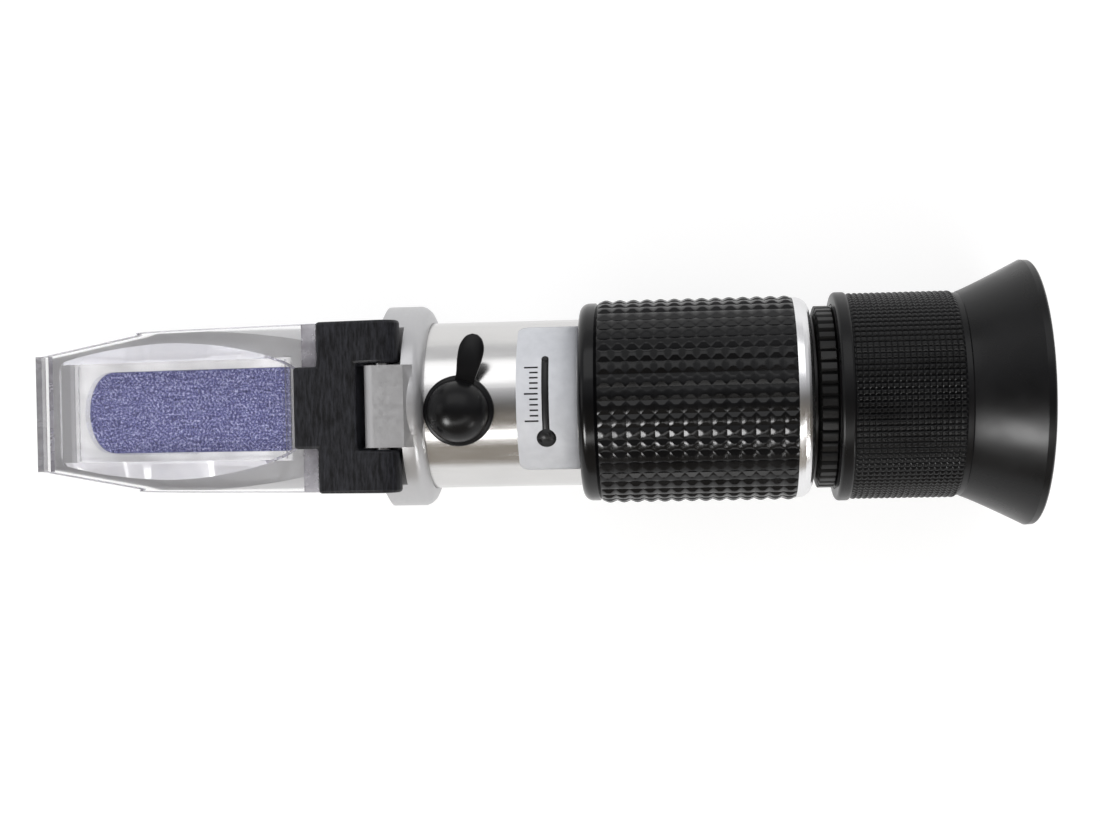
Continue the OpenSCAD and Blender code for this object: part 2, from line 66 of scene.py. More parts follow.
def span(node, axis):
    """The lowest and highest place of a CAD node along one axis, in millimetres."""
    low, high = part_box(node)
    return low[axis] / MM, high[axis] / MM


# ---------------------------------------------------------------- sizes from the frame

TUBE_R = span("main_tube", 1)[1]
GRIP_X = span("grip_sleeve", 0)
GRIP_R = span("grip_sleeve", 1)[1]
BARREL_X = span("eyepiece_barrel", 0)
CUP_X = span("eyecup", 0)
RIM_R = span("eyecup", 1)[1]
LABEL_X = span("label", 0)
PIN_X = JOINTS["plate_hinge"]["pos_m"][0] / MM
PIN_Z = JOINTS["plate_hinge"]["pos_m"][2] / MM
SCREW_AXIS = Vector(JOINTS["plug_pull"]["axis"])
SCREW_X = JOINTS["calibration_turn"]["pos_m"][0] / MM

# the prism's face: its slope, and the pin's height above it
SLOPE = math.radians(12)
PIN_RISE = 2.0

ON_SLOPE = (
    Matrix.Translation((PIN_X * MM, 0, PIN_Z * MM))
    @ Matrix.Rotation(-SLOPE, 4, "Y")
    @ Matrix.Translation((0, 0, -PIN_RISE * MM))
)
ON_SCREW = Matrix.Translation((SCREW_X * MM, 0, 0)) @ Vector((0, 0, 1)).rotation_difference(
    SCREW_AXIS
).to_matrix().to_4x4()


# ---------------------------------------------------------------- mesh helpers


def new_object(name, verts, faces, place=None, smooth_angle=None):
    """A mesh object from points in millimetres."""
    mesh = bpy.data.meshes.new(name)
    mesh.from_pydata([(x * MM, y * MM, z * MM) for x, y, z in verts], [], faces)
    if place is not None:
        mesh.transform(place)
    mesh.validate()
    obj = bpy.data.objects.new(name, mesh)
    bpy.context.collection.objects.link(obj)
    face_outwards(mesh)
    shade(mesh, smooth_angle)
    return obj


def face_outwards(mesh):
    """Makes the faces of a mesh agree, outwards where it is closed."""
    work = bmesh.new()
    work.from_mesh(mesh)
    bmesh.ops.recalc_face_normals(work, faces=work.faces)
    work.to_mesh(mesh)
    work.free()


def shade(mesh, angle=None):
    """Smooth shading, broken at edges sharper than the angle."""
    for face in mesh.polygons:
        face.use_smooth = True
    if angle is not None:
        mesh.set_sharp_from_angle(angle=math.radians(angle))


def bevel(obj, width, angle):
    """Rounds the edges sharper than the angle by a modifier, in two steps."""
    made = obj.modifiers.new("Rounded edges", "BEVEL")
    made.width = width * MM
    made.segments = 2
    made.limit_method = "ANGLE"
    made.angle_limit = math.radians(angle)


def revolve(name, profile, steps, relief=None, smooth_angle=None):
    """A closed profile of (x, r) turned about the optical axis. relief(x, r, turn) adds to r."""
    verts = []
    for x, r in profile:
        for k in range(steps):
            turn = k / steps
            lift = relief(x, r, turn) if relief else 0
            angle = 2 * math.pi * turn
            verts.append((x, (r + lift) * math.sin(angle), (r + lift) * math.cos(angle)))
    rows = len(profile)
    faces = []
    for i in range(rows):
        j = (i + 1) % rows
        for k in range(steps):
            m = (k + 1) % steps
            quad = (i * steps + k, i * steps + m, j * steps + m, j * steps + k)
            faces += split_on_slope(verts, quad) if relief else [quad]
    return new_object(name, verts, faces, smooth_angle=smooth_angle)


def split_on_slope(verts, quad):
    """Two triangles that share the steeper diagonal, so that a relief keeps straight ridges."""
    a, b, c, d = quad
    rise = [math.hypot(verts[k][1], verts[k][2]) for k in quad]
    if abs(abs(rise[0] - rise[2]) - abs(rise[1] - rise[3])) < 1e-6:
        return [quad]
    if abs(rise[0] - rise[2]) > abs(rise[1] - rise[3]):
        return [(a, b, c), (a, c, d)]
    return [(a, b, d), (b, c, d)]


def arc(centre, radius, start, end, count):
    """Points of an arc in a profile plane, angles in degrees."""
    points = []
    for i in range(count + 1):
        a = math.radians(start + (end - start) * i / count)
        points.append((centre[0] + radius * math.cos(a), centre[1] + radius * math.sin(a)))
    return points


def stations(start, end, count):
    """Evenly spaced places from start to end, both included."""
    return [start + (end - start) * i / count for i in range(count + 1)]


def circle(radius, steps):
    """Points of a full circle about the origin."""
    angles = [2 * math.pi * k / steps for k in range(steps)]
    return [(radius * math.cos(a), radius * math.sin(a)) for a in angles]


def ridge(place):
    """A triangle wave: 0 between cells and 1 in the middle of each."""
    return 1 - abs(2 * (place % 1) - 1)


def knurl(x0, x1, rows, around, deep, shallow, steepness):
    """Relief of blunt pyramids between two stations: deep grooves lengthwise, shallow across."""

    def relief(x, r, turn):
        if not x0 - 1e-6 <= x <= x1 + 1e-6:
            return 0
        along = min(1, steepness * ridge(rows * (x - x0) / (x1 - x0)))
        across = min(1, steepness * ridge(around * turn))
        return -max(shallow * (1 - along), deep * (1 - across))

    return relief


def smooth_curve(points, fine):
    """A Catmull-Rom curve through the points."""
    ends = [points[0]] + list(points) + [points[-1]]
    curve = []
    for i in range(1, len(ends) - 2):
        p0, p1, p2, p3 = (Vector(p) for p in ends[i - 1 : i + 3])
        for k in range(fine):
            t = k / fine
            curve.append(
                0.5
                * (
                    2 * p1
                    + (p2 - p0) * t
                    + (2 * p0 - 5 * p1 + 4 * p2 - p3) * t**2
                    + (3 * p1 - p0 - 3 * p2 + p3) * t**3
                )
            )
    curve.append(Vector(points[-1]))
    return [(p.x, p.y) for p in curve]


def stack_faces(rows, count):
    """The two end faces of stacked rings of points, and the quads between the rings."""
    faces = [tuple(range(count)), tuple(range((rows - 1) * count, rows * count))]
    for i in range(rows - 1):
        for k in range(count):
            m = (k + 1) % count
            faces.append((i * count + k, i * count + m, (i + 1) * count + m, (i + 1) * count + k))
    return faces


def loft(name, outlines, levels, smooth_angle=30, place=ON_SLOPE):
    """Joins matching outlines at rising levels into a closed solid, by default on the slope."""
    verts = [(x, y, z) for outline, z in zip(outlines, levels) for x, y in outline]
    faces = stack_faces(len(levels), len(outlines[0]))
    return new_object(name, verts, faces, place, smooth_angle)


def both_sides(half):
    """A closed outline from [distance down the slope, half width] points."""
    return [(-s, y) for s, y in half] + [(-s, -y) for s, y in reversed(half)]


def box_outline(s0, s1, half):
    """A closed rectangle between two distances down the slope."""
    return both_sides([(s1, half), (s0, half)])


def softened(node, name, width):
    """A copy of a CAD node whose sharp edges are rounded."""
    sharp = 35
    mesh = frame["nodes"][node].data.copy()
    work = bmesh.new()
    work.from_mesh(mesh)
    bmesh.ops.remove_doubles(work, verts=work.verts, dist=1e-6)
    bmesh.ops.dissolve_limit(
        work, angle_limit=math.radians(1), verts=work.verts, edges=work.edges
    )
    bmesh.ops.recalc_face_normals(work, faces=work.faces)
    work.to_mesh(mesh)
    work.free()
    mesh.materials.clear()
    if "custom_normal" in mesh.attributes:
        mesh.attributes.remove(mesh.attributes["custom_normal"])
    obj = bpy.data.objects.new(name, mesh)
    bpy.context.collection.objects.link(obj)
    shade(mesh, sharp)
    bevel(obj, width, sharp)
    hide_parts(node)
    return obj


def unite(base, parts):
    """Joins solids into the base and removes them."""
    for part in parts:
        made = base.modifiers.new("Join", "BOOLEAN")
        made.operation = "UNION"
        made.solver = "EXACT"
        made.object = part
        bpy.context.view_layer.update()
        graph = bpy.context.evaluated_depsgraph_get()
        mesh = bpy.data.meshes.new_from_object(base.evaluated_get(graph))
        base.modifiers.clear()
        base.data = mesh
        bpy.data.objects.remove(part)
    return base


# ---------------------------------------------------------------- material helpers


def material(name):
    """A new material, its node tree and its shader."""
    made = bpy.data.materials.new(name)
    made.use_nodes = True
    tree = made.node_tree
    return made, tree, tree.nodes["Principled BSDF"]


def texture(tree, scale, stretch=(1, 1, 1), **settings):
    """A procedural noise in the piece's own metres, drawn out along an axis below 1."""
    place = tree.nodes.new("ShaderNodeTexCoord")
    mapping = tree.nodes.new("ShaderNodeMapping")
    mapping.inputs["Scale"].default_value = stretch
    made = tree.nodes.new("ShaderNodeTexNoise")
    made.inputs["Scale"].default_value = scale
    for key, value in settings.items():
        made.inputs[key].default_value = value
    tree.links.new(place.outputs["Object"], mapping.inputs["Vector"])
    tree.links.new(mapping.outputs["Vector"], made.inputs["Vector"])
    return made


def ramp(tree, source, stops):
    """A colour ramp from a factor: stops are (place, colour)."""
    made = tree.nodes.new("ShaderNodeValToRGB")
    elements = made.color_ramp.elements
    while len(elements) < len(stops):
        elements.new(0.5)
    for element, (place, colour) in zip(elements, stops):
        element.position = place
        element.color = (*colour, 1)
    tree.links.new(source, made.inputs["Fac"])
    return made


def vary(tree, shader, socket, source, low, high):
    """Drives a socket between two values by a noise's factor, which is mostly 0.3 to 0.7."""
    made = tree.nodes.new("ShaderNodeMapRange")
    made.inputs["From Min"].default_value = 0.3
    made.inputs["From Max"].default_value = 0.7
    made.inputs["To Min"].default_value = low
    made.inputs["To Max"].default_value = high
    tree.links.new(source, made.inputs["Value"])
    tree.links.new(made.outputs["Result"], shader.inputs[socket])


def bump(tree, shader, source, strength, distance):
    """Raises a surface by a texture's factor, the distance in millimetres."""
    made = tree.nodes.new("ShaderNodeBump")
    made.inputs["Strength"].default_value = strength
    made.inputs["Distance"].default_value = distance * MM
    tree.links.new(source, made.inputs["Height"])
    tree.links.new(made.outputs["Normal"], shader.inputs["Normal"])


def satin_metal(name, colour, rough, stretch, scale=900, bare=1):
    """Machined or brushed metal, its grain drawn out along the axis of the short stretch."""
    spread, wear = 0.06, 0.06
    made, tree, shader = material(name)
    shader.inputs["Metallic"].default_value = bare
    grain = texture(tree, scale, stretch=stretch, Detail=6, Roughness=0.6)
    cloud = texture(tree, 90, Detail=3)
    tint = ramp(
        tree,
        cloud.outputs["Fac"],
        [(0.3, [c * (1 - wear) for c in colour]), (0.7, colour)],
    )
    tree.links.new(tint.outputs["Color"], shader.inputs["Base Color"])
    vary(tree, shader, "Roughness", grain.outputs["Fac"], rough - spread, rough + spread)
    bump(tree, shader, grain.outputs["Fac"], 0.12, 0.02)
    return made


def moulded(name, colour, rough, grain=1400, strength=0.25, gloss=0.35):
    """Moulded rubber or plastic: a fine skin and slow changes of sheen."""
    spread, depth = 0.07, 0.015
    made, tree, shader = material(name)
    skin = texture(tree, grain, Detail=4, Roughness=0.65)
    cloud = texture(tree, 120, Detail=3)
    tint = ramp(
        tree,
        cloud.outputs["Fac"],
        [(0.35, [c * 0.78 for c in colour]), (0.65, [c * 1.22 for c in colour])],
    )
    tree.links.new(tint.outputs["Color"], shader.inputs["Base Color"])
    vary(tree, shader, "Roughness", cloud.outputs["Fac"], rough - spread, rough + spread)
    shader.inputs["Specular IOR Level"].default_value = gloss
    bump(tree, shader, skin.outputs["Fac"], strength, depth)
    return made


# ---------------------------------------------------------------- materials

ACRYLIC_IOR = 1.49


def make_prism_glass():
    """Polished top over a ground, blue-violet coated back that glitters in fine specks."""
    made, tree, shader = material("prism glass")
    specks = texture(tree, 2900, Detail=8, Roughness=0.85)
    cloud = texture(tree, 220, Detail=3)
    tint = ramp(
        tree,
        specks.outputs["Fac"],
        [
            (0.39, (0.002, 0.002, 0.015)),
            (0.46, (0.018, 0.020, 0.11)),
            (0.53, (0.085, 0.09, 0.32)),
            (0.59, (0.72, 0.74, 1.0)),
        ],
    )
    tree.links.new(tint.outputs["Color"], shader.inputs["Base Color"])
    vary(tree, shader, "Roughness", cloud.outputs["Fac"], 0.28, 0.42)
    shader.inputs["Coat Weight"].default_value = 0.4
    shader.inputs["Coat Roughness"].default_value = 0.08
    bump(tree, shader, specks.outputs["Fac"], 0.3, 0.02)
    return made


def make_clear_plate():
    """Clear acrylic with a faint violet cast and slow changes of polish."""
    made, tree, shader = material("clear acrylic")
    haze = texture(tree, 160, Detail=4)
    tint = ramp(
        tree, haze.outputs["Fac"], [(0.3, (0.97, 0.97, 0.99)), (0.7, (0.99, 0.99, 1.0))]
    )
    tree.links.new(tint.outputs["Color"], shader.inputs["Base Color"])
    vary(tree, shader, "Roughness", haze.outputs["Fac"], 0.0, 0.04)
    shader.inputs["Alpha"].default_value = 0.25
    shader.inputs["Transmission Weight"].default_value = 0.94
    shader.inputs["IOR"].default_value = ACRYLIC_IOR
    return made


def make_dull_acrylic(name, dark, pale, clear, rough):
    """Acrylic whose surface is less polished, as on its cut edges and sloped walls. The colours it
    is given carry painted shade on the edges and a painted sheen on the walls.
    """
    spread = 0.06
    made, tree, shader = material(name)
    saw = texture(tree, 500, stretch=(1, 1, 0.2), Detail=4)
    tint = ramp(tree, saw.outputs["Fac"], [(0.3, dark), (0.7, pale)])
    tree.links.new(tint.outputs["Color"], shader.inputs["Base Color"])
    vary(tree, shader, "Roughness", saw.outputs["Fac"], rough - spread, rough + spread)
    shader.inputs["Transmission Weight"].default_value = clear
    shader.inputs["IOR"].default_value = ACRYLIC_IOR
    return made


def make_lens_glass():
    """Dark glass with a faintly blue coating."""
    made, tree, shader = material("coated lens glass")
    bloom = texture(tree, 60, Detail=2)
    tint = ramp(
        tree, bloom.outputs["Fac"], [(0.3, (0.02, 0.03, 0.05)), (0.7, (0.03, 0.05, 0.07))]
    )
    tree.links.new(tint.outputs["Color"], shader.inputs["Base Color"])
    vary(tree, shader, "Roughness", bloom.outputs["Fac"], 0.02, 0.05)
    shader.inputs["Coat Weight"].default_value = 1
    shader.inputs["Coat Tint"].default_value = (0.75, 0.8, 1, 1)
    shader.inputs["Alpha"].default_value = 0.6
    return made


def make_label_film():
    """Pale grey-blue film with a fine fibre."""
    made, tree, shader = material("label film")
    fibre = texture(tree, 700, Detail=5)
    tint = ramp(
        tree, fibre.outputs["Fac"], [(0.3, (0.56, 0.575, 0.61)), (0.7, (0.62, 0.635, 0.67))]
    )
    tree.links.new(tint.outputs["Color"], shader.inputs["Base Color"])
    vary(tree, shader, "Roughness", fibre.outputs["Fac"], 0.30, 0.42)
    bump(tree, shader, fibre.outputs["Fac"], 0.1, 0.01)
    return made


def make_bracket_plastic():
    """Black plastic with a fine grain drawn out along the hinge."""
    made, tree, shader = material("grained black plastic")
    grain = texture(tree, 700, stretch=(3.2, 0.5, 3.2), Detail=7, Roughness=0.7)
    tint = ramp(
        tree, grain.outputs["Fac"], [(0.40, (0.004, 0.004, 0.005)), (0.70, (0.026, 0.027, 0.034))]
    )
    tree.links.new(tint.outputs["Color"], shader.inputs["Base Color"])
    vary(tree, shader, "Roughness", grain.outputs["Fac"], 0.34, 0.55)
    shader.inputs["Specular IOR Level"].default_value = 0.2
    bump(tree, shader, grain.outputs["Fac"], 0.5, 0.04)
    return made


ALUMINIUM = satin_metal("blasted aluminium", (0.49, 0.49, 0.50), 0.36, (1, 1, 1), 1500, bare=0.7)
TUBE_METAL = satin_metal("bright satin tube", (0.63, 0.625, 0.62), 0.22, (0.12, 1, 1), 1100)
RING_METAL = satin_metal("turned satin ring", (0.78, 0.78, 0.79), 0.24, (1, 0.15, 0.15), 1100)
STEEL = satin_metal("machined steel", (0.62, 0.62, 0.63), 0.3, (1, 0.3, 0.3))
BRASS = satin_metal("machined brass", (0.80, 0.62, 0.30), 0.3, (0.3, 0.3, 1))
BIMETAL = satin_metal("rolled bimetal", (0.62, 0.56, 0.45), 0.34, (0.15, 1, 1))
GRIP_RUBBER = moulded("glossy grip rubber", (0.003, 0.003, 0.0035), 0.2, gloss=0.24)
CUP_RUBBER = moulded("satin eyecup rubber", (0.004, 0.004, 0.0045), 0.3, gloss=0.2)
PLUG_RUBBER = moulded(
    "satin plug rubber", (0.003, 0.003, 0.0035), 0.3, grain=500, strength=0.1, gloss=0.2
)
BARREL_BLACK = moulded("black barrel plastic", (0.005, 0.005, 0.005), 0.36, gloss=0.26)
INNER_BLACK = moulded("matt black inner parts", (0.012, 0.012, 0.012), 0.6)
GASKET_RUBBER = moulded("grey bedding rubber", (0.10, 0.10, 0.11), 0.6)
BEZEL_WHITE = moulded("white bezel", (0.78, 0.78, 0.79), 0.45, grain=900, strength=0.15)
PRINT_BLACK = moulded("printing ink", (0.006, 0.006, 0.007), 0.45, grain=2200, strength=0.1)
PRISM_GLASS = make_prism_glass()
CLEAR_PLATE = make_clear_plate()
# the walls' satin roughness is real; their pale, partly matt lavender-white tint is a painted sheen
# in place of the light they reflect
SLOPED_WALL_PAINTED_SHEEN = make_dull_acrylic(
    "satin acrylic wall with painted sheen", (0.90, 0.90, 0.97), (0.95, 0.95, 1), clear=0.55, rough=0.2
)
# on the cut edges the sawn grain and roughness are real, and the dark grey tint is painted shade
CUT_EDGE_PAINTED_SHADE = make_dull_acrylic(
    "cut acrylic edge with painted shade", (0.28, 0.27, 0.30), (0.44, 0.43, 0.47), clear=0.5, rough=0.25
)
LENS_GLASS = make_lens_glass()
LABEL_FILM = make_label_film()
BRACKET_PLASTIC = make_bracket_plastic()

NODE_MATERIALS = {
    "prism": PRISM_GLASS,
    "prism_bezel": BEZEL_WHITE,
    "prism_gasket": GASKET_RUBBER,
    "light_baffle": INNER_BLACK,
    "main_tube": TUBE_METAL,
    "collar_set_screws": STEEL,
    "screw_bush": BRASS,
    "calibration_screw": STEEL,
    "lens_carriage": INNER_BLACK,
    "objective_lens": LENS_GLASS,
    "objective_ring": INNER_BLACK,
    "bimetal_strip": BIMETAL,
    "strip_screw": STEEL,
    "reticle_holder": INNER_BLACK,
    "reticle": LENS_GLASS,
    "reticle_ring": INNER_BLACK,
    "rear_ring": RING_METAL,
    "eyepiece_guide": BARREL_BLACK,
    "focus_key": BRASS,
    "lens_cell": INNER_BLACK,
    "field_lens": LENS_GLASS,
    "lens_spacer": INNER_BLACK,
    "eye_lens": LENS_GLASS,
    "lens_retainer": INNER_BLACK,
    "hinge_pin": STEEL,
}


def finish_nodes():
    """Gives every CAD node that stays its material."""
    for name, made in NODE_MATERIALS.items():
        mesh = frame["nodes"][name].data
        mesh.materials.clear()
        mesh.materials.append(made)


def put(obj, made, body):
    """Finishes a piece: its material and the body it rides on."""
    obj.data.materials.clear()
    obj.data.materials.append(made)
    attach(obj, body)


# ---------------------------------------------------------------- pieces

# an edge of a knurl sharper than this, in degrees, is not smoothed over
KNURL_SHARP = 14


def make_housing():
    """The cast housing and collar, with small rounded edges."""
    housing = softened("prism_housing", "housing_casting", 0.22)
    put(housing, ALUMINIUM, "instrument_body")


def make_bracket():
    """The black hinge bracket. Its short edges don't hold its rounding back."""
    bracket = softened("plate_bracket", "hinge_bracket", 0.45)
    bracket.modifiers["Rounded edges"].use_clamp_overlap = False
    put(bracket, BRACKET_PLASTIC, "cover_plate")


def make_grip():
    """A rounded lip, then rows of blunt pyramids up to the metal ring."""
    rows, around, fine = 14, 48, 6
    long_groove, cross_groove, steepness = 0.42, 0.34, 1.25
    front, rear = GRIP_X
    lip_r, lip_round = GRIP_R - 0.4, 1.5
    knurl_x = front + 3.05
    hole_r = TUBE_R + 0.1
    lip = arc((front + lip_round, lip_r - lip_round), lip_round, 180, 90, 8)
    outer = [(front, hole_r + 0.5)] + lip + [(front + 2.5, lip_r), (front + 2.75, lip_r - 0.25)]
    outer += [(x, GRIP_R) for x in stations(knurl_x, rear, rows * fine)]
    profile = outer + [(rear, hole_r), (front, hole_r)]
    relief = knurl(knurl_x, rear, rows, around, long_groove, cross_groove, steepness)
    grip = revolve("knurled_grip", profile, around * fine, relief, KNURL_SHARP)
    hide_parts("grip_sleeve")
    put(grip, GRIP_RUBBER, "instrument_body")


def make_barrel():
    """The focusing barrel: a ring of lengthwise ribs in front of the eyecup."""
    ribs, fine = 48, 8
    groove, steepness = 0.55, 2.2
    front, rear = BARREL_X
    ring_front = span("eyepiece_guide", 0)[1] + 0.3
    ring_rear = CUP_X[0] - 0.1
    ring_r, body_r, insert_r, mouth_r, shoulder_r, cell_r = 14.3, 14.5, 10.75, 10.0, 8.2, 9.65
    sharp = 35

    def relief(x, r, turn):
        if abs(r - ring_r) > 0.01:
            return 0
        return -groove * (1 - min(1, steepness * ridge(ribs * turn)))

    profile = [
        (front, cell_r),
        (front, insert_r),
        (ring_front, insert_r),
        (ring_front, ring_r - 0.9),
        (ring_front + 0.3, ring_r),
        (ring_rear - 0.3, ring_r),
        (ring_rear, ring_r - 0.6),
        (ring_rear + 0.1, body_r - 0.1),
        (ring_rear + 0.3, body_r),
        (rear - 0.3, body_r),
        (rear, body_r - 0.3),
        (rear, mouth_r + 0.3),
        (rear - 0.3, mouth_r),
        (rear - 4.5, mouth_r),
        (rear - 4.5, shoulder_r),
        (rear - 5.7, shoulder_r),
        (rear - 5.7, cell_r),
    ]
    barrel = revolve("focusing_barrel", profile, ribs * fine, relief, sharp)
    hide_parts("eyepiece_barrel")
    put(barrel, BARREL_BLACK, "eyepiece")


def make_eyecup():
    """Bead, fine knurl, neck and flared cone with a thin rim."""
    rows, around, fine = 18, 108, 4
    long_groove, cross_groove, steepness = 0.32, 0.22, 1.5
    front, rim = CUP_X
    grip_r, hole_r, lens_hole_r = 16.2, 14.55, 12.4
    neck_r, cone_r = grip_r - 0.35, grip_r - 0.15
    bead_round, rim_round = 0.6, 0.75
    cone_length, flare = 9.6, 1.08
    bead_end = front + 2.3
    knurl_end = rim - 12.0
    cone_x = rim - 10.9
    barrel_rear = BARREL_X[1]
    bead = arc((front + 0.6, grip_r - 0.4), bead_round, 180, 90, 5)
    bead += arc((front + 1.6, grip_r - 0.4), bead_round, 90, 20, 5)
    outer = [(front, hole_r)] + bead
    outer += [(x, grip_r) for x in stations(bead_end, knurl_end, rows * fine)]
    neck = [(knurl_end + 0.15, neck_r), (cone_x - 0.15, neck_r)]
    cone = [(cone_x, cone_r)]
    cone += [
        (cone_x + cone_length * t, cone_r + (RIM_R - grip_r + 0.1) * t**flare)
        for t in stations(0.04, 1, 12)
    ]
    edge = arc((rim - rim_round, RIM_R - rim_round), rim_round, 60, -10, 6)
    throat = [(rim - 1.6, RIM_R - 1.6), (rim - 5, 17.6), (barrel_rear + 1.8, 14.2)]
    throat += [(barrel_rear + 1.2, lens_hole_r + 0.2)]
    throat += [(barrel_rear + 0.8, lens_hole_r), (barrel_rear + 0.05, lens_hole_r)]
    profile = outer + neck + cone + edge + throat + [(barrel_rear + 0.05, hole_r)]
    relief = knurl(bead_end, knurl_end, rows, around, long_groove, cross_groove, steepness)
    cup = revolve("rubber_eyecup", profile, around * fine, relief, KNURL_SHARP)
    # the rim stops at the flat that it rests on
    rest_z = span("eyecup", 2)[0] * MM
    for vert in cup.data.vertices:
        vert.co.z = max(vert.co.z, rest_z)
    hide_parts("eyecup")
    put(cup, CUP_RUBBER, "eyepiece")


def make_plug():
    """A domed rubber cap on a flange that sits on the tube, with a flat pull tail."""
    steps, sharp = 72, 50
    flange_r, dome_r, top, crown = 5.4, 4.75, 14.0, 18.45
    shank_r, shank_low = 2.3, 12.35
    seat_r = TUBE_R + 0.06
    profile = arc((0, top), 1, 90, 2, 14)
    rings = [(max(dome_r * px, 0.01), top + (crown - top) * (pz - top)) for px, pz in profile]
    rings += [(dome_r + 0.12, top + 0.02), (flange_r - 0.25, top), (flange_r, top - 0.25)]
    verts = [(x, y, z) for r, z in rings for x, y in circle(r, steps)]
    for r in (flange_r, shank_r):
        verts += [(x, y, math.sqrt(seat_r**2 - y**2)) for x, y in circle(r, steps)]
    verts += [(x, y, shank_low) for x, y in circle(shank_r, steps)]
    faces = stack_faces(len(verts) // steps, steps)
    cap = new_object("plug_cap", verts, faces, ON_SCREW, sharp)
    # the tail, as distances from the screw's axis and half widths
    tail_low, tail_high, tail_round = 13.2, 14.35, 0.2
    half = smooth_curve(
        [(3.0, 1.45), (5.5, 1.5), (8.0, 1.85), (10.0, 1.85), (11.4, 1.25), (12.0, 0.4)], 6
    )
    outline = [(x, y) for y, x in half] + [(-x, y) for y, x in reversed(half)]
    inner = [(0.9 * x, 0.985 * y) for x, y in outline]
    lean = Matrix.Rotation(math.radians(-14), 4, "Z")
    tail = loft(
        "plug_tail",
        [inner, outline, outline, inner],
        [tail_low, tail_low + tail_round, tail_high - tail_round, tail_high],
        60,
        ON_SCREW @ lean,
    )
    plug = unite(cap, [tail])
    plug.name = "rubber_plug"
    shade(plug.data, sharp)
    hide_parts("calibration_plug")
    put(plug, PLUG_RUBBER, "plug")


def make_spring():
    """The return spring in machined steel, copied from the CAD coil; its low end stays on the
    strip.
    """
    spring = bpy.data.objects.new("coil_spring", frame["nodes"]["return_spring"].data.copy())
    bpy.context.collection.objects.link(spring)
    spring.data.materials.clear()
    spring.data.materials.append(STEEL)
    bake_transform(spring)
    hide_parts("return_spring")


def on_tube(x, turn, r):
    """A point over the tube: turn is in degrees from the top towards +Y."""
    a = math.radians(turn)
    return (x, r * math.sin(a), r * math.cos(a))


def make_label():
    """A wrapped film with rounded corners, and a printed thermometer scale on it."""
    x0, x1 = LABEL_X
    up, down, corner = 63, -51, 1.6
    film_r, film_thick = TUBE_R + 0.11, 0.08
    degree = math.radians(1) * TUBE_R
    columns = [x0 + corner * (1 - math.cos(math.radians(a))) for a in range(0, 91, 10)]
    columns += [x1]
    rows = 40
    verts, faces = [], []
    for x in columns:
        short = 0
        if x < x0 + corner:
            short = (corner - math.sqrt(max(corner**2 - (x0 + corner - x) ** 2, 0))) / degree
        for k in range(rows + 1):
            turn = down + short + (up - down - 2 * short) * k / rows
            verts.append(on_tube(x, turn, film_r))
    for i in range(len(columns) - 1):
        for k in range(rows):
            a = i * (rows + 1) + k
            faces.append((a, a + 1, a + rows + 2, a + rows + 1))
    film = new_object("wrapped_label", verts, faces)
    thick = film.modifiers.new("Film", "SOLIDIFY")
    thick.thickness = film_thick * MM
    thick.offset = -1
    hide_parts("label")
    put(film, LABEL_FILM, "instrument_body")
    make_print()


def make_print():
    """A thermometer lying round the tube: bulb, stem and graduations."""
    ink_r, ink_thick = TUBE_R + 0.115, 0.015
    middle = sum(LABEL_X) / 2 - 0.2
    stem_low, stem_high, stem_half = -24, 30, 0.55
    bulb_r, disc_steps = 1.5, 32
    marks, first_mark, mark_step, mark_half = 11, 12, 3.6, 0.55
    mark_x = middle - 1.1
    verts, faces = [], []

    def bar(x_low, x_high, turn_low, turn_high):
        count = max(2, round(abs(turn_high - turn_low) / 3))
        start = len(verts)
        for k in range(count + 1):
            turn = turn_low + (turn_high - turn_low) * k / count
            verts.append(on_tube(x_low, turn, ink_r))
            verts.append(on_tube(x_high, turn, ink_r))
        for k in range(count):
            a = start + 2 * k
            faces.append((a, a + 2, a + 3, a + 1))

    def disc(x, turn, radius):
        start = len(verts)
        degree = math.radians(1) * TUBE_R
        for dx, dy in circle(radius, disc_steps):
            verts.append(on_tube(x + dx, turn + dy / degree, ink_r + 0.02))
        faces.append(tuple(range(start, start + disc_steps)))

    bar(middle - stem_half, middle + stem_half, stem_low, stem_high)
    disc(middle, stem_low, bulb_r)
    disc(middle, stem_high, stem_half)
    for k in range(marks):
        turn = stem_low + first_mark + mark_step * k
        reach = 2.1 if k % 5 == 0 else 1.3
        bar(mark_x - reach, mark_x, turn - mark_half, turn + mark_half)
    ink = new_object("label_scale", verts, faces)
    thick = ink.modifiers.new("Ink", "SOLIDIFY")
    thick.thickness = ink_thick * MM
    thick.offset = 0
    put(ink, PRINT_BLACK, "instrument_body")


def boat_outline(tip):
    """Outline of the block on the plate, from [distance back from its tip, half width] points."""
    widths = [
        (0, 6.9),
        (0.45, 7.95),
        (1.7, 8.65),
        (8, 9.9),
        (15, 10.65),
        (21, 10.85),
        (28, 10.3),
        (35, 9.0),
        (40, 7.5),
        (43.4, 5.6),
    ]
    return smooth_curve([(tip - back, half) for back, half in widths], 6)


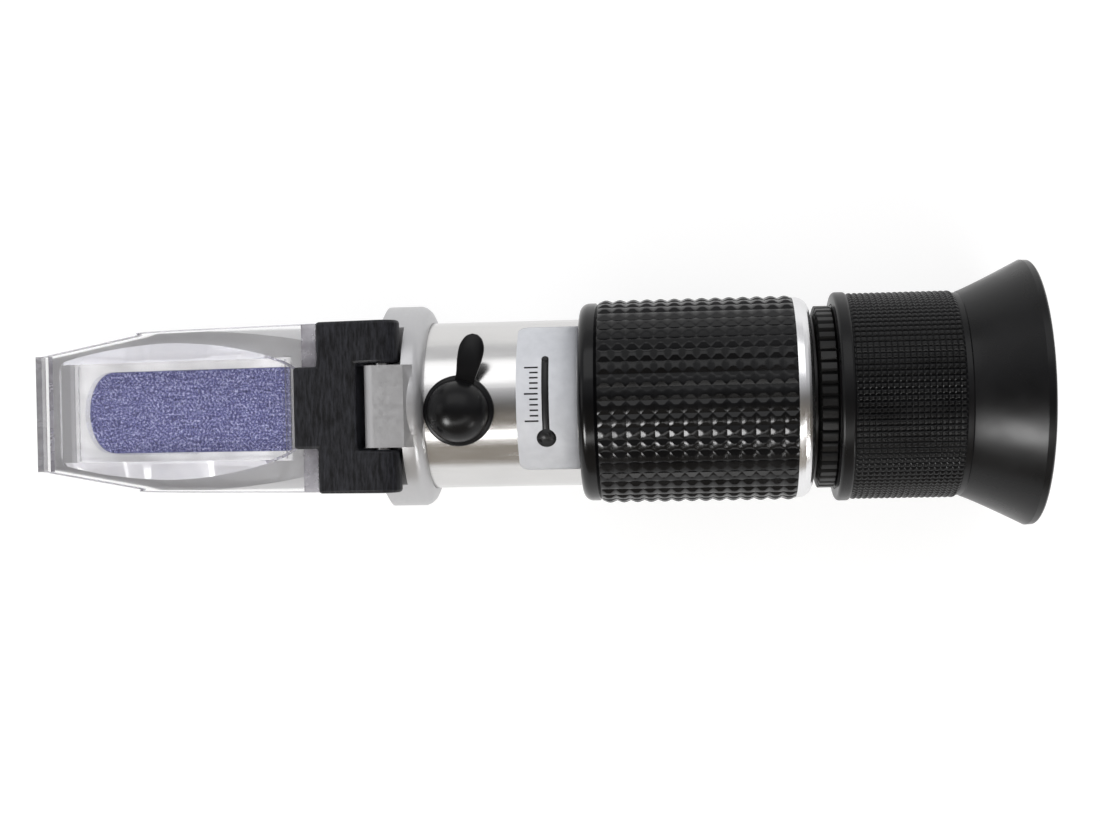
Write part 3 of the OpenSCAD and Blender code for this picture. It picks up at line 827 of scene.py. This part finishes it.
def make_plate():
    """Clear plate: a slab, a boat-shaped block on it, a turned-up lip and a rib at the root."""
    pad_low, slab_low, slab_high, block_high, rib_high = 0.1, 0.6, 2.2, 3.4, 3.0
    lip_wide, rib_wide, edge, sunk = 2.4, 2.4, 0.12, 0.3
    sharp, rounding, rounded_from = 25, 0.1, 40
    near = -span("daylight_plate", 0)[0] + PIN_X
    tip = (near - (block_high - PIN_RISE) * math.sin(SLOPE)) / math.cos(SLOPE)
    root = 10.5
    rib_end = root + rib_wide
    half = smooth_curve(
        [(tip, 9.4), (tip - 9.4, 10.95), (tip - 17.6, 12.3), (tip - 20.6, 12.85), (root, 13.1)], 6
    )
    slab_out = both_sides(half)
    slab_in = both_sides([(s, y - edge) for s, y in half])
    slab = loft(
        "daylight_cover",
        [slab_in, slab_out, slab_out, slab_in],
        [slab_low, slab_low + edge, slab_high - edge, slab_high],
    )
    boat = boat_outline(tip - 3.6)
    window_end, window_half = 55.3, 7.9
    foot = both_sides(boat)
    crown = both_sides([(min(s - 0.3, window_end), min(y - 0.4, window_half)) for s, y in boat])
    block = loft("block", [foot, foot, crown], [slab_high - sunk, slab_high, block_high])
    lip_out = box_outline(tip - lip_wide, tip - 0.02, 9.35)
    lip = loft("lip", [lip_out] * 2, [slab_high - sunk, block_high])
    rib_out = box_outline(root + 0.02, rib_end, 12.95)
    rib = loft("rib", [rib_out] * 2, [slab_high - sunk, rib_high])
    pad = loft("pad", [box_outline(17, 54, 7.8)] * 2, [pad_low, slab_low + sunk])
    tab = loft("tab", [box_outline(5, root + 1, 5.5)] * 2, [slab_low + 0.02, slab_high - 0.02])
    plate = unite(slab, [block, lip, rib, pad, tab])
    shade(plate.data, sharp)
    bevel(plate, rounding, rounded_from)
    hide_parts("daylight_plate")
    put(plate, CLEAR_PLATE, "cover_plate")
    finish_plate_faces(plate.data, rib_high, rib_end)


def finish_plate_faces(mesh, rib_high, rib_end):
    """Polished where a face lies flat, satin with a painted sheen where it slopes, cut and darkened
    with painted shade where it stands or is the rib.
    """
    polished, satin, cut = 0, 1, 2
    mesh.materials.append(SLOPED_WALL_PAINTED_SHEEN)
    mesh.materials.append(CUT_EDGE_PAINTED_SHADE)
    square = ON_SLOPE.to_3x3() @ Vector((0, 0, 1))
    flatten = ON_SLOPE.inverted()
    for face in mesh.polygons:
        up = abs(face.normal @ square)
        face.material_index = polished if up > 0.98 else satin if up > 0.5 else cut
        centre = flatten @ face.center / MM
        # the rib's top takes the dark cut-edge tint as painted shade, where the dark bracket shows
        # through the plate
        if centre.z > rib_high - 0.1 and centre.x > -(rib_end + 0.1):
            face.material_index = cut


# ---------------------------------------------------------------- stage


def make_camera():
    """Nearly straight above the middle of the object, rolled a little."""
    eye = Vector((25.2, -1.2, 259.2)) * MM
    target = Vector((4.3, -1.2, 0)) * MM
    roll = math.radians(-1.3)
    back = (eye - target).normalized()
    up = Vector((0, 1, 0))
    right = up.cross(back).normalized()
    up = back.cross(right)
    turned_right = right * math.cos(roll) + up * math.sin(roll)
    turned_up = back.cross(turned_right)
    camera = bpy.data.objects.new("Camera", bpy.data.cameras.new("Camera"))
    bpy.context.collection.objects.link(camera)
    camera.matrix_world = Matrix(
        (
            (turned_right.x, turned_up.x, back.x, eye.x),
            (turned_right.y, turned_up.y, back.y, eye.y),
            (turned_right.z, turned_up.z, back.z, eye.z),
            (0, 0, 0, 1),
        )
    )
    camera.data.sensor_width = 36
    camera.data.lens = 53.2
    camera.data.clip_start = 0.01
    bpy.context.scene.camera = camera


def make_floor():
    """A pale surface that the collar and the eyecup's rim rest on."""
    collar_x, collar_r = span("prism_housing", 0)[1] - 1.7, span("prism_housing", 1)[1]
    rest_x = CUP_X[1] - 0.9
    tilt = math.atan2(RIM_R - collar_r, rest_x - collar_x)
    size, gap = 3, 0.1
    mesh = bpy.data.meshes.new("Floor")
    mesh.from_pydata(
        [(-size, -size, 0), (size, -size, 0), (size, size, 0), (-size, size, 0)], [], [(0, 1, 2, 3)]
    )
    floor = bpy.data.objects.new("Floor", mesh)
    bpy.context.collection.objects.link(floor)
    floor.location = (rest_x * MM, 0, -(RIM_R + gap) * MM)
    floor.rotation_euler = (0, tilt, 0)
    made, tree, shader = material("pale floor")
    cloud = texture(tree, 4, Detail=2)
    tint = ramp(tree, cloud.outputs["Fac"], [(0.3, (0.30, 0.30, 0.30)), (0.7, (0.32, 0.32, 0.32))])
    tree.links.new(tint.outputs["Color"], shader.inputs["Base Color"])
    shader.inputs["Roughness"].default_value = 0.9
    shader.inputs["Specular IOR Level"].default_value = 0.1
    shader.inputs["Emission Color"].default_value = (1, 1, 1, 1)
    shader.inputs["Emission Strength"].default_value = 0.78
    mesh.materials.append(made)


def make_light(name, place, size, power, in_gloss=True, on_matt=True):
    """A soft lamp that faces the object. It can be kept out of the gloss, or off what is matt."""
    data = bpy.data.lights.new(name, "AREA")
    data.shape = "RECTANGLE"
    data.size, data.size_y = size
    data.energy = power
    light = bpy.data.objects.new(name, data)
    bpy.context.collection.objects.link(light)
    light.location = place
    light.rotation_euler = (-Vector(place)).to_track_quat("-Z", "Y").to_euler()
    light.visible_glossy = in_gloss
    light.visible_diffuse = on_matt


def make_world():
    """A room with a white wall behind the object and a dim, warm one in front of it."""
    world = bpy.data.worlds.new("Studio")
    world.use_nodes = True
    tree = world.node_tree
    back = tree.nodes["Background"]
    place = tree.nodes.new("ShaderNodeTexCoord")
    split = tree.nodes.new("ShaderNodeSeparateXYZ")
    tree.links.new(place.outputs["Generated"], split.inputs["Vector"])
    half = tree.nodes.new("ShaderNodeMapRange")
    half.inputs["From Min"].default_value = -1
    tree.links.new(split.outputs["Y"], half.inputs["Value"])
    room = ramp(
        tree,
        half.outputs["Result"],
        [
            (0.0, (0.42, 0.38, 0.33)),
            (0.30, (0.24, 0.205, 0.165)),
            (0.50, (0.15, 0.145, 0.14)),
            (0.66, (0.70, 0.70, 0.72)),
            (0.85, (0.85, 0.85, 0.86)),
        ],
    )
    tree.links.new(room.outputs["Color"], back.inputs["Color"])
    back.inputs["Strength"].default_value = 0.9
    bpy.context.scene.world = world


def make_lights():
    """The lamps, the room around them and plain colours in the picture."""
    make_light("Back softbox", (0, 0.75, 0.75), (1.3, 0.7), 3.0)
    make_light("Front strip", (0.08, -0.42, 0.5), (0.9, 0.1), 1.4)
    make_light("Left card", (-0.9, 0.1, 0.42), (0.45, 0.45), 0.5)
    make_light("Front left lamp", (-0.54, -0.52, 0.55), (0.25, 0.25), 6.0, on_matt=False)
    make_light("Front right lamp", (0.6, -0.62, 0.22), (0.12, 0.12), 1.0, on_matt=False)
    make_light("Top fill", (0, -0.4, 1.0), (1, 1), 4.2, in_gloss=False)
    make_world()
    bpy.context.scene.view_settings.view_transform = "Standard"


finish_nodes()
make_housing()
make_bracket()
make_plate()
make_plug()
make_spring()
make_label()
make_grip()
make_barrel()
make_eyecup()
make_camera()
make_floor()
make_lights()
